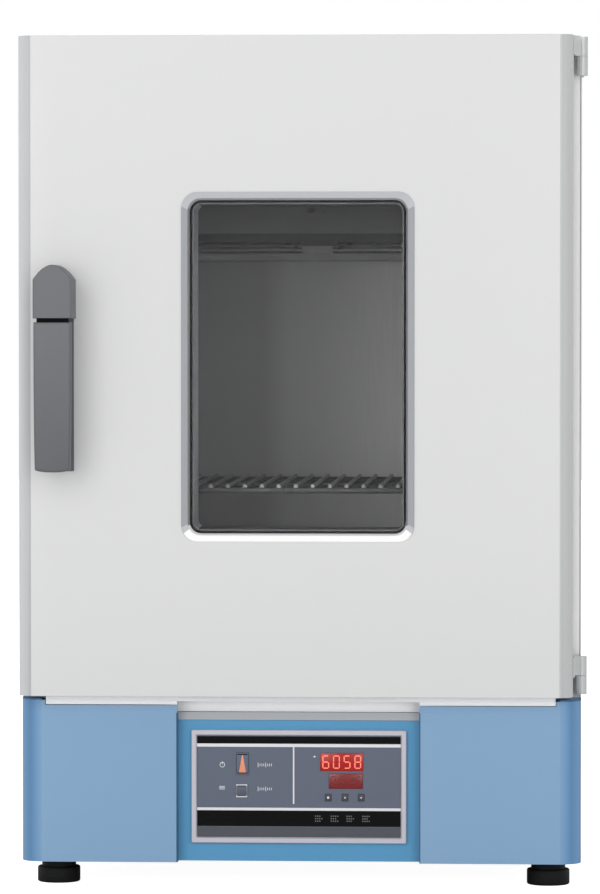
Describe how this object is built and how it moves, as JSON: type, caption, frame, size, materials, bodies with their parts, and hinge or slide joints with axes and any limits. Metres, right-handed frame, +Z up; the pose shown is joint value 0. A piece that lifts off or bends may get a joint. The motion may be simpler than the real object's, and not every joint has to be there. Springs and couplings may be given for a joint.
{
  "type": "forced air drying oven",
  "caption": "Bench drying oven: insulated steel cabinet with a hinged glazed door and pull handle, wire shelf, rear fan and heater, on a base with a recessed control panel.",
  "frame": {"origin": "middle of the oven's box in plan, on the surface that the feet stand on", "axes": "+Z up, +X to the right of someone who faces the door, the door faces -Y"},
  "size_m": [0.592, 0.6704, 0.8914],
  "materials": {
    "white_paint": "fine textured powder coat",
    "blue_paint": "satin powder coat",
    "deep_blue_paint": "satin powder coat",
    "steel": "brushed",
    "stainless": "mill finish stainless",
    "dark_steel": "satin dark grey",
    "silver": "satin anodised",
    "grey_plastic": "fine moulded texture",
    "black_plastic": "matte",
    "foot_rubber": "matte",
    "panel_grey": "printed matte film",
    "red_display": "lit display window",
    "dark_red_display": "unlit display window",
    "salmon_lens": "translucent lens",
    "board_green": "circuit board lacquer",
    "window_glass": "clear toughened glass",
    "silicone": "matte silicone",
    "mineral_wool": "loose fibre"
  },
  "bodies": {
    "cabinet": {"base_shell": "blue_paint", "base_floor": "dark_steel", "base_rear_panel": "blue_paint", "mains_inlet": "black_plastic", "front_sill": "white_paint", "foot_front_left": "foot_rubber", "foot_front_right": "foot_rubber", "foot_rear_left": "foot_rubber", "foot_rear_right": "foot_rubber", "control_plate": "deep_blue_paint", "recess_trim": "steel", "fascia_frame": "silver", "fascia_panel": "panel_grey", "upper_display": "red_display", "lower_display": "dark_red_display", "power_switch_frame": "panel_grey", "fan_switch_frame": "silver", "control_board": "board_green", "heater_relay": "black_plastic", "cabinet_shell": "white_paint", "front_frame": "white_paint", "rear_panel": "white_paint", "insulation_jacket": "mineral_wool", "insulation_rear": "mineral_wool", "keeper": "steel", "fan_motor": "dark_steel", "motor_cover": "white_paint", "vent_tube": "steel", "inner_chamber": "stainless", "air_duct_cover": "stainless", "heating_element": "dark_steel", "temperature_probe": "stainless", "rack_left": "stainless", "rack_right": "stainless", "hinge_upper_cabinet": "steel", "hinge_lower_cabinet": "steel"},
    "door": {"door_skin": "white_paint", "door_inner_panel": "white_paint", "door_insulation": "mineral_wool", "window_bezel": "silver", "outer_glass": "window_glass", "window_spacer": "steel", "inner_glass": "window_glass", "door_gasket": "silicone", "handle_housing": "grey_plastic", "lever_pin": "steel", "hinge_upper_door": "steel", "hinge_lower_door": "steel"},
    "handle": {"handle_lever": "grey_plastic"},
    "latch": {"latch_bar": "steel"},
    "fan": {"fan_wheel": "stainless", "fan_shaft": "steel"},
    "damper": {"vent_damper": "steel"},
    "power_switch": {"power_rocker": "salmon_lens"},
    "fan_switch": {"fan_rocker": "panel_grey"},
    "set_button": {"set_key": "grey_plastic"},
    "raise_button": {"raise_key": "grey_plastic"},
    "lower_button": {"lower_key": "grey_plastic"},
    "shelf": {"wire_shelf": "steel"}
  },
  "joints": [
    {"name": "door_swing", "type": "hinge", "parent": "cabinet", "child": "door", "pos_m": [0.29, -0.22715, 0.5458], "axis": [0, 0, 1], "range_deg": [0, 115]},
    {"name": "handle_pull", "type": "hinge", "parent": "door", "child": "handle", "pos_m": [-0.255, -0.32515, 0.6017], "axis": [-1, 0, 0], "range_deg": [0, 14], "stiffness_Nm_per_rad": 2, "springref_deg": -17.19},
    {"name": "latch_slide", "type": "slide", "parent": "door", "child": "latch", "axis": [0, 0, -1], "range_m": [0, 0.0132]},
    {"name": "fan_spin", "type": "hinge", "parent": "cabinet", "child": "fan", "pos_m": [-0.003, 0.15, 0.7387], "axis": [0, 1, 0], "continuous": true},
    {"name": "vent_turn", "type": "hinge", "parent": "cabinet", "child": "damper", "pos_m": [-0.143, 0.30285, 0.7537], "axis": [0, 0, 1], "range_deg": [0, 90]},
    {"name": "power_switch_rock", "type": "hinge", "parent": "cabinet", "child": "power_switch", "pos_m": [-0.064, -0.24515, 0.1295], "axis": [1, 0, 0], "range_deg": [0, 10]},
    {"name": "fan_switch_rock", "type": "hinge", "parent": "cabinet", "child": "fan_switch", "pos_m": [-0.0649, -0.24515, 0.1011], "axis": [1, 0, 0], "range_deg": [0, 8]},
    {"name": "set_key_press", "type": "slide", "parent": "cabinet", "child": "set_button", "axis": [0, 1, 0], "range_m": [0, 0.0006], "stiffness_N_per_m": 300, "springref_m": -0.001},
    {"name": "raise_key_press", "type": "slide", "parent": "cabinet", "child": "raise_button", "axis": [0, 1, 0], "range_m": [0, 0.0006], "stiffness_N_per_m": 300, "springref_m": -0.001},
    {"name": "lower_key_press", "type": "slide", "parent": "cabinet", "child": "lower_button", "axis": [0, 1, 0], "range_m": [0, 0.0006], "stiffness_N_per_m": 300, "springref_m": -0.001},
    {"name": "shelf_slide", "type": "slide", "parent": "cabinet", "child": "shelf", "axis": [0, -1, 0], "range_m": [0, 0.02]}
  ],
  "couplings": [
    {"joint": "latch_slide", "follows": "handle_pull", "m_per_rad": 0.054}
  ]
}
